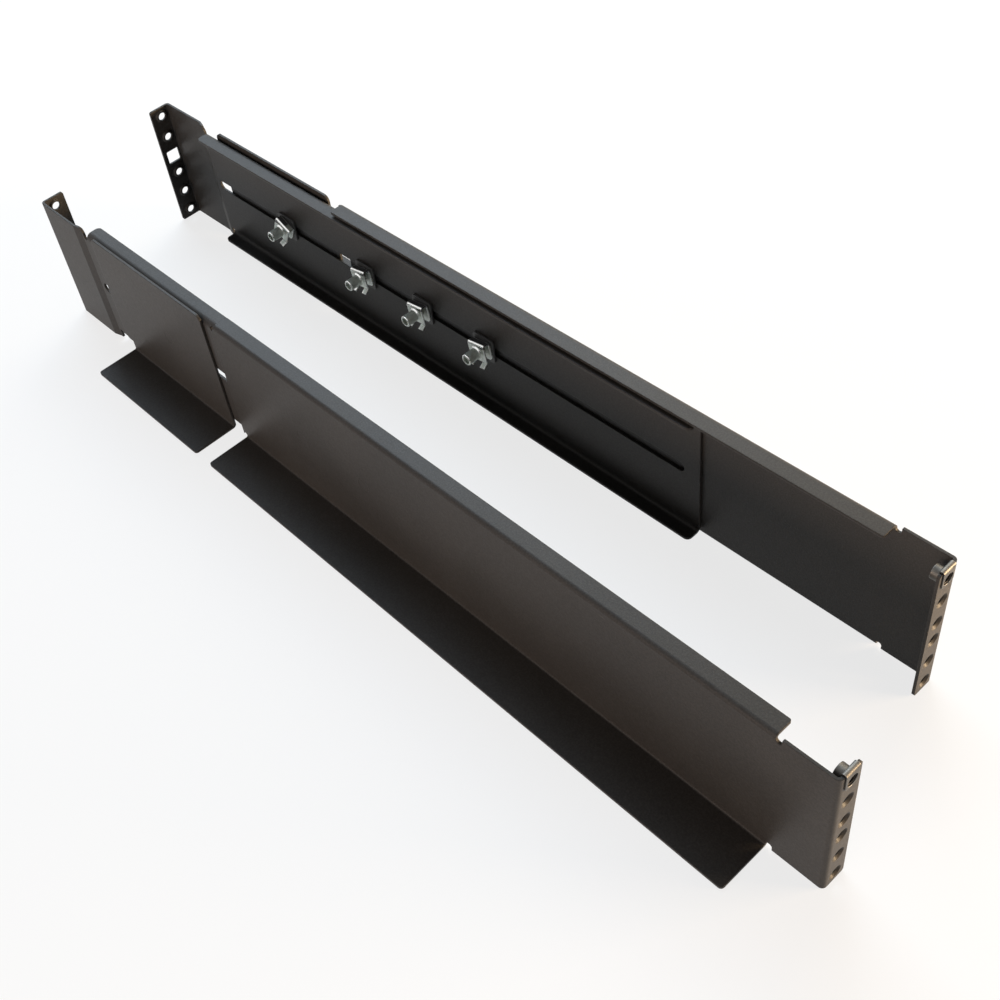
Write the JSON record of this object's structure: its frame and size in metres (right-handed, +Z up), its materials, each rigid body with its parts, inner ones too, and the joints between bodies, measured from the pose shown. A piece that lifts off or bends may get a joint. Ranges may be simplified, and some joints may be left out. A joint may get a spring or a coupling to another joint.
{
  "type": "telescopic rack rail pair",
  "caption": "Pair of adjustable folded-sheet support rails with ears, shelves, slotted sliding rear brackets, wing nuts and clip nuts.",
  "frame": {"origin": "centre of the pair on the ground below it", "axes": "+Y runs from the front ears to the rear ears, +Z up, +X towards the left rail"},
  "size_m": [0.1778, 0.631, 0.0892],
  "materials": {
    "black_paint": "semi-gloss powder coat with a fine grain",
    "zinc_plate": "satin zinc plating"
  },
  "bodies": {
    "fixed": {"right_front_rail": "black_paint", "right_rail_studs": "zinc_plate", "right_rail_washers": "zinc_plate", "right_clip_nut": "zinc_plate", "left_front_rail": "black_paint", "left_rail_studs": "zinc_plate", "left_rail_washers": "zinc_plate", "left_clip_nut": "zinc_plate"},
    "right_bracket": {"right_rear_bracket": "black_paint"},
    "right_support": {"right_rear_support": "black_paint", "right_support_stud": "zinc_plate", "right_support_washer": "zinc_plate"},
    "right_wing_nut_1": {"right_wing_nut_1": "zinc_plate"},
    "right_wing_nut_2": {"right_wing_nut_2": "zinc_plate"},
    "right_wing_nut_3": {"right_wing_nut_3": "zinc_plate"},
    "right_wing_nut_4": {"right_wing_nut_4": "zinc_plate"},
    "left_bracket": {"left_rear_bracket": "black_paint"},
    "left_support": {"left_rear_support": "black_paint", "left_support_stud": "zinc_plate", "left_support_washer": "zinc_plate"},
    "left_wing_nut_1": {"left_wing_nut_1": "zinc_plate"},
    "left_wing_nut_2": {"left_wing_nut_2": "zinc_plate"},
    "left_wing_nut_3": {"left_wing_nut_3": "zinc_plate"},
    "left_wing_nut_4": {"left_wing_nut_4": "zinc_plate"}
  },
  "joints": [
    {"name": "right_bracket_slide", "type": "slide", "parent": "fixed", "child": "right_bracket", "axis": [0, 1, 0], "range_m": [0, 0.142]},
    {"name": "right_support_slide", "type": "slide", "parent": "right_bracket", "child": "right_support", "axis": [0, 1, 0], "range_m": [-0.0097, 0.0125]},
    {"name": "right_wing_nut_1_turn", "type": "hinge", "parent": "right_support", "child": "right_wing_nut_1", "pos_m": [-0.05515, 0.1612, 0.04405], "axis": [1, 0, 0], "range_deg": [0, 540]},
    {"name": "right_wing_nut_2_turn", "type": "hinge", "parent": "fixed", "child": "right_wing_nut_2", "pos_m": [-0.05515, 0.0821, 0.04405], "axis": [1, 0, 0], "range_deg": [0, 540]},
    {"name": "right_wing_nut_3_turn", "type": "hinge", "parent": "fixed", "child": "right_wing_nut_3", "pos_m": [-0.05515, 0.0295, 0.04405], "axis": [1, 0, 0], "range_deg": [0, 540]},
    {"name": "right_wing_nut_4_turn", "type": "hinge", "parent": "fixed", "child": "right_wing_nut_4", "pos_m": [-0.05515, -0.0231, 0.04405], "axis": [1, 0, 0], "range_deg": [0, 540]},
    {"name": "left_bracket_slide", "type": "slide", "parent": "fixed", "child": "left_bracket", "axis": [0, 1, 0], "range_m": [0, 0.142]},
    {"name": "left_support_slide", "type": "slide", "parent": "left_bracket", "child": "left_support", "axis": [0, 1, 0], "range_m": [-0.0097, 0.0125]},
    {"name": "left_wing_nut_1_turn", "type": "hinge", "parent": "left_support", "child": "left_wing_nut_1", "pos_m": [0.05515, 0.19, 0.04405], "axis": [-1, 0, 0], "range_deg": [0, 540]},
    {"name": "left_wing_nut_2_turn", "type": "hinge", "parent": "fixed", "child": "left_wing_nut_2", "pos_m": [0.05515, 0.1109, 0.04405], "axis": [-1, 0, 0], "range_deg": [0, 540]},
    {"name": "left_wing_nut_3_turn", "type": "hinge", "parent": "fixed", "child": "left_wing_nut_3", "pos_m": [0.05515, 0.0583, 0.04405], "axis": [-1, 0, 0], "range_deg": [0, 540]},
    {"name": "left_wing_nut_4_turn", "type": "hinge", "parent": "fixed", "child": "left_wing_nut_4", "pos_m": [0.05515, 0.0057, 0.04405], "axis": [-1, 0, 0], "range_deg": [0, 540]}
  ]
}
